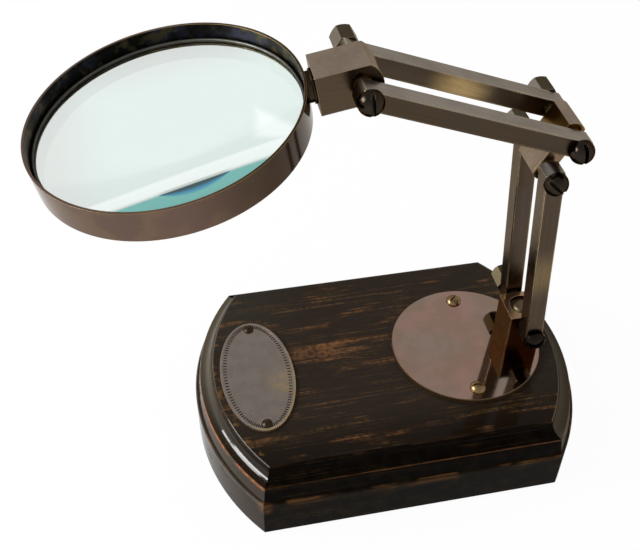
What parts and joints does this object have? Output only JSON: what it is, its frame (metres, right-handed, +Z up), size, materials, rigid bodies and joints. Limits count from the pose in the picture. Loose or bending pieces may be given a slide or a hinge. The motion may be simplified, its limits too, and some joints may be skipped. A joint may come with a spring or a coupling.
{
  "type": "desk magnifier",
  "caption": "Desk magnifier: a large round lens on a jointed brass arm that stands on a moulded wooden base.",
  "frame": {"origin": "centre of the wooden base's underside", "axes": "+X along the base towards the post, +Y to the back, where the cap nuts are, +Z up"},
  "size_m": [0.2287, 0.124, 0.2001],
  "materials": {
    "lacquered_wood": "black lacquer over brown wood, rubbed through along the grain and edges",
    "steel": "plain steel",
    "polished_brass": "brown tinted brass, mirror polished",
    "plate_brass": "brown tinted brass, satin, rubbed bright on the rim",
    "bronzed_brass": "bronzed brass, satin, rubbed golden on the edges",
    "ring_brass": "bronzed brass, satin outside and blackened inside",
    "dark_brass": "blackened brass, glossy",
    "worn_brass": "bare brass, lightly tarnished",
    "lens_glass": "clear polished glass with a faint green tint"
  },
  "bodies": {
    "stand": {"wood_base": "lacquered_wood", "post_bolt": "steel", "post_bolt_washer": "steel", "post_bolt_nut": "steel", "base_disc": "polished_brass", "disc_screws": "worn_brass", "name_plate": "plate_brass", "name_plate_screws": "dark_brass", "post": "bronzed_brass"},
    "lower_arm": {"lower_bar_front": "bronzed_brass", "lower_bar_rear": "bronzed_brass", "post_pivot_screw": "dark_brass", "post_pivot_nut": "bronzed_brass", "post_pivot_washers": "worn_brass", "elbow_lower_screw": "dark_brass", "elbow_lower_nut": "bronzed_brass", "elbow_lower_washers": "worn_brass"},
    "elbow": {"elbow_block": "bronzed_brass"},
    "upper_arm": {"upper_bar_front": "bronzed_brass", "upper_bar_rear": "bronzed_brass", "elbow_upper_screw": "dark_brass", "elbow_upper_nut": "bronzed_brass", "elbow_upper_washers": "worn_brass", "lens_pivot_screw": "dark_brass", "lens_pivot_nut": "bronzed_brass", "lens_pivot_washers": "worn_brass"},
    "lens_carrier": {"lens_block": "bronzed_brass"},
    "lens_head": {"swivel_stud": "dark_brass", "swivel_washer": "worn_brass", "lens_ring": "ring_brass", "lens": "lens_glass", "retaining_ring": "worn_brass"}
  },
  "joints": [
    {"name": "lower_arm_tilt", "type": "hinge", "parent": "stand", "child": "lower_arm", "pos_m": [0.0644, -0.002, 0.0538], "axis": [0, 1, 0], "range_deg": [-35, 60]},
    {"name": "elbow_fold", "type": "hinge", "parent": "lower_arm", "child": "elbow", "pos_m": [0.05738, -0.002, 0.14503], "axis": [0, -1, 0], "range_deg": [-60, 45]},
    {"name": "upper_arm_tilt", "type": "hinge", "parent": "elbow", "child": "upper_arm", "pos_m": [0.06499, -0.002, 0.15933], "axis": [0, 1, 0], "range_deg": [-40, 60]},
    {"name": "lens_tilt", "type": "hinge", "parent": "upper_arm", "child": "lens_carrier", "pos_m": [-0.01857, -0.002, 0.19141], "axis": [0, -1, 0], "range_deg": [-80, 90]},
    {"name": "lens_swivel", "type": "hinge", "parent": "lens_carrier", "child": "lens_head", "pos_m": [-0.01857, -0.002, 0.19141], "axis": [-0.9848, 0, -0.1736], "range_deg": [-90, 90]}
  ]
}
